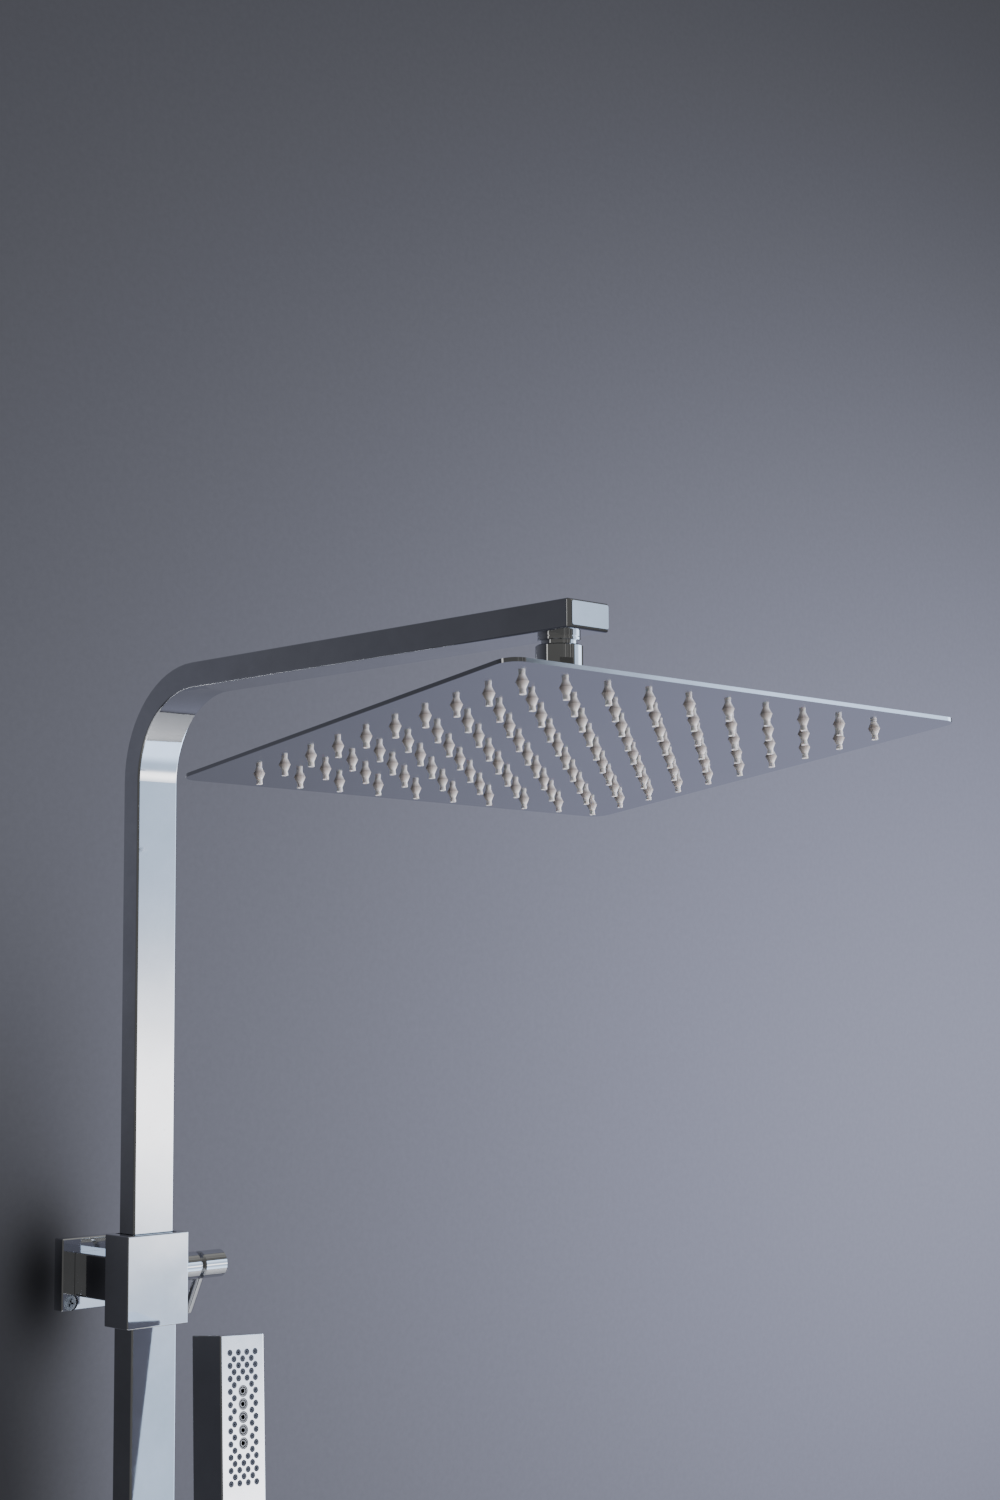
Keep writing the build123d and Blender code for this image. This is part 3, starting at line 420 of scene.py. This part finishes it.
def build_world():
    """Room in front of the wall: a tall bright window at the right, a dim striped room at the left.

    Bearing is in degrees from straight out of the wall towards +X, and rise in degrees above level.
    """
    world = bpy.data.worlds.new("studio")
    bpy.context.scene.world = world
    world.use_nodes = True
    g = Graph(world.node_tree)
    out = g.add("ShaderNodeOutputWorld")
    ray = g.add("ShaderNodeTexCoord").outputs["Generated"]
    axis = g.add("ShaderNodeSeparateXYZ", {"Vector": ray}).outputs
    out_from_wall = g.math("MULTIPLY", axis["Y"], -1.0)
    bearing = g.math("DEGREES", g.math("ARCTAN2", axis["X"], out_from_wall))
    rise = g.math("DEGREES", g.math("ARCSINE", axis["Z"]))

    def ramp(angle, start, end, low=0, high=1):
        return g.remap(angle, start, end, low, high, True)

    def product(a, b):
        return g.math("MULTIPLY", a, b)

    stripes = g.noise(g.add("ShaderNodeCombineXYZ", {"X": bearing}).outputs["Vector"], 0.16, 1.0)
    room = ramp(stripes, 0.42, 0.6, CURTAIN_DARK, CURTAIN_LIGHT)
    room = g.between(ramp(bearing, -28, -16), ROOM_LEFT, room)
    room = g.between(product(ramp(bearing, -116, -112), ramp(bearing, -101, -105)), room, LAMP)
    room = g.between(ramp(rise, 26, 75), room, CEILING)
    room = g.between(ramp(rise, -12, -40), room, ROOM_FLOOR)

    window = g.math("ADD", ramp(rise, -13, -24, WINDOW_LEVEL, WINDOW_FOOT),
                    ramp(rise, 9, 16, 0, WINDOW_TOP_GAIN))
    window = product(window, ramp(bearing, 50, 66, 1, WINDOW_RIGHT_GAIN))
    left_edge = ramp(rise, 9, 14, 34, 40.5)
    sides = product(ramp(bearing, 32, left_edge), ramp(bearing, 90, 80))
    ends = product(ramp(rise, -58, -48), ramp(rise, 27, 22))
    opening = product(sides, ends)
    offset = g.math("DIVIDE", g.math("SUBTRACT", rise, STRIP_RISE), STRIP_HALF)
    strip = g.math("EXPONENT", product(product(offset, offset), -1.0))
    strip = product(product(strip, STRIP), opening)

    def background(color, strength):
        return g.add("ShaderNodeBackground", {"Color": color, "Strength": strength}).outputs[0]

    dim = background(ROOM_GREY, g.between(opening, room, 0.0))
    bright = background(WINDOW_WHITE, g.between(opening, 0.0, window))
    both = g.add("ShaderNodeAddShader", {0: dim, 1: bright})
    total = g.add("ShaderNodeAddShader", {0: both.outputs[0], 1: background(STRIP_WHITE, strip)})
    g.put(out.inputs["Surface"], total.outputs[0])


def build_floor():
    low, _ = cad_box
    place = (0, FLOOR_CENTRE_Y, low.z - FLOOR_DROP)
    bpy.ops.mesh.primitive_circle_add(vertices=96, radius=FLOOR_RADIUS, fill_type="NGON", location=place)
    floor = bpy.context.object
    floor.name = "floor"
    paint = plain("floor_paint", (0.70, 0.71, 0.73), (0.76, 0.77, 0.79), 0.7, 0.85, scale=6)
    floor.data.materials.append(paint)


def painted_wall_light(g, place):
    """Painted light over the wall: a broad painted glow at the right, painted shade at the lower left and a
    painted shadow round the flange.
    """
    def glow(centre, size):
        away = g.add("ShaderNodeVectorMath", {0: place, 1: centre}, operation="SUBTRACT").outputs["Vector"]
        scale = (1 / size[0], 0.0, 1 / size[1])
        away = g.add("ShaderNodeVectorMath", {0: away, 1: scale}, operation="MULTIPLY").outputs["Vector"]
        square = g.add("ShaderNodeVectorMath", {0: away, 1: away}, operation="DOT_PRODUCT").outputs["Value"]
        return g.math("EXPONENT", g.math("MULTIPLY", square, -1.0))

    # painted pool of light: a broad glow at the right of the wall
    light = g.math("MULTIPLY", glow((0.875, 0, 0.055), (0.85, 0.59)), 0.323)
    across, _, height = g.add("ShaderNodeSeparateXYZ", {"Vector": place}).outputs
    # painted shade: the wall darkens towards its lower left
    left = g.remap(across, 0.04, -0.06, 0, 1, True)
    corner = g.math("MULTIPLY", left, g.remap(height, 0.30, -0.12, 0, 1, True))
    level = g.math("MULTIPLY", g.math("ADD", light, 0.053), g.remap(corner, 0, 1, 1, 0.26))
    level = g.math("MAXIMUM", level, 0.042)
    # painted contact shadow round the flange
    flange_shadow = g.math("MULTIPLY", glow((-0.028, 0, -0.002), (0.024, 0.040)), 0.85)
    level = g.math("MULTIPLY", level, g.math("SUBTRACT", 1.0, flange_shadow))
    plaster = g.remap(g.noise(place, 260, 3, 0.7), 0.3, 0.7, 0.97, 1.03)
    return g.math("MULTIPLY", level, plaster)


def build_backdrop():
    """Wall just behind the flanges, glowing with painted light and shade, seen from its front side only."""
    low, high = cad_box
    bottom, top = low.z - FLOOR_DROP, high.z + WALL_ABOVE
    mesh = bpy.data.meshes.new("backdrop")
    outline = ((WALL_LEFT, bottom), (WALL_RIGHT, bottom), (WALL_RIGHT, top), (WALL_LEFT, top))
    mesh.from_pydata([(x, WALL_Y, z) for x, z in outline], [], [(0, 1, 2, 3)])
    backdrop = bpy.data.objects.new("backdrop", mesh)
    bpy.context.scene.collection.objects.link(backdrop)

    material = bpy.data.materials.new("painted_glow_wall")
    material.use_nodes = True
    g = Graph(material.node_tree)
    out = g.add("ShaderNodeOutputMaterial")
    level = painted_wall_light(g, g.add("ShaderNodeTexCoord").outputs["Object"])
    tone = g.mix(g.remap(level, 0.06, 0.3, 0, 1), WALL_DIM, WALL_BRIGHT)
    # painted light: the wall glows by emission with the painted brightness, though it is no lamp
    paint = g.add("ShaderNodeEmission", {"Color": tone, "Strength": level})
    clear = g.add("ShaderNodeBsdfTransparent")
    rear = g.add("ShaderNodeNewGeometry").outputs["Backfacing"]
    surface = g.add("ShaderNodeMixShader", {0: rear, 1: paint.outputs[0], 2: clear.outputs[0]})
    g.put(out.inputs["Surface"], surface.outputs[0])
    mesh.materials.append(material)


def add_area(name, place, target, size, power, color):
    """Soft light that is left out of mirror reflections."""
    data = bpy.data.lights.new(name, "AREA")
    data.shape = "RECTANGLE"
    data.size, data.size_y = size
    data.energy = power
    data.color = color
    light = bpy.data.objects.new(name, data)
    light.location = place
    light.visible_glossy = False
    light.rotation_mode = "QUATERNION"
    light.rotation_quaternion = (Vector(target) - Vector(place)).to_track_quat("-Z", "Y")
    bpy.context.scene.collection.objects.link(light)


def build_lights():
    add_area("low_front", (0.75, -1.75, -0.5), (0, -0.35, 0.2), (0.8, 0.8), 38, (1.0, 0.98, 0.97))
    add_area("high_right", (1.7, -1.6, 1.9), (0, -0.2, 0), (1.4, 1.4), 30, (1.0, 0.985, 0.97))
    add_area("high_left", (-1.9, -0.9, 1.8), (0, -0.2, 0), (1.2, 1.2), 12, (0.92, 0.95, 1.0))


build_nipples()
build_jets()
build_camera()
build_world()
build_floor()
build_backdrop()
build_lights()
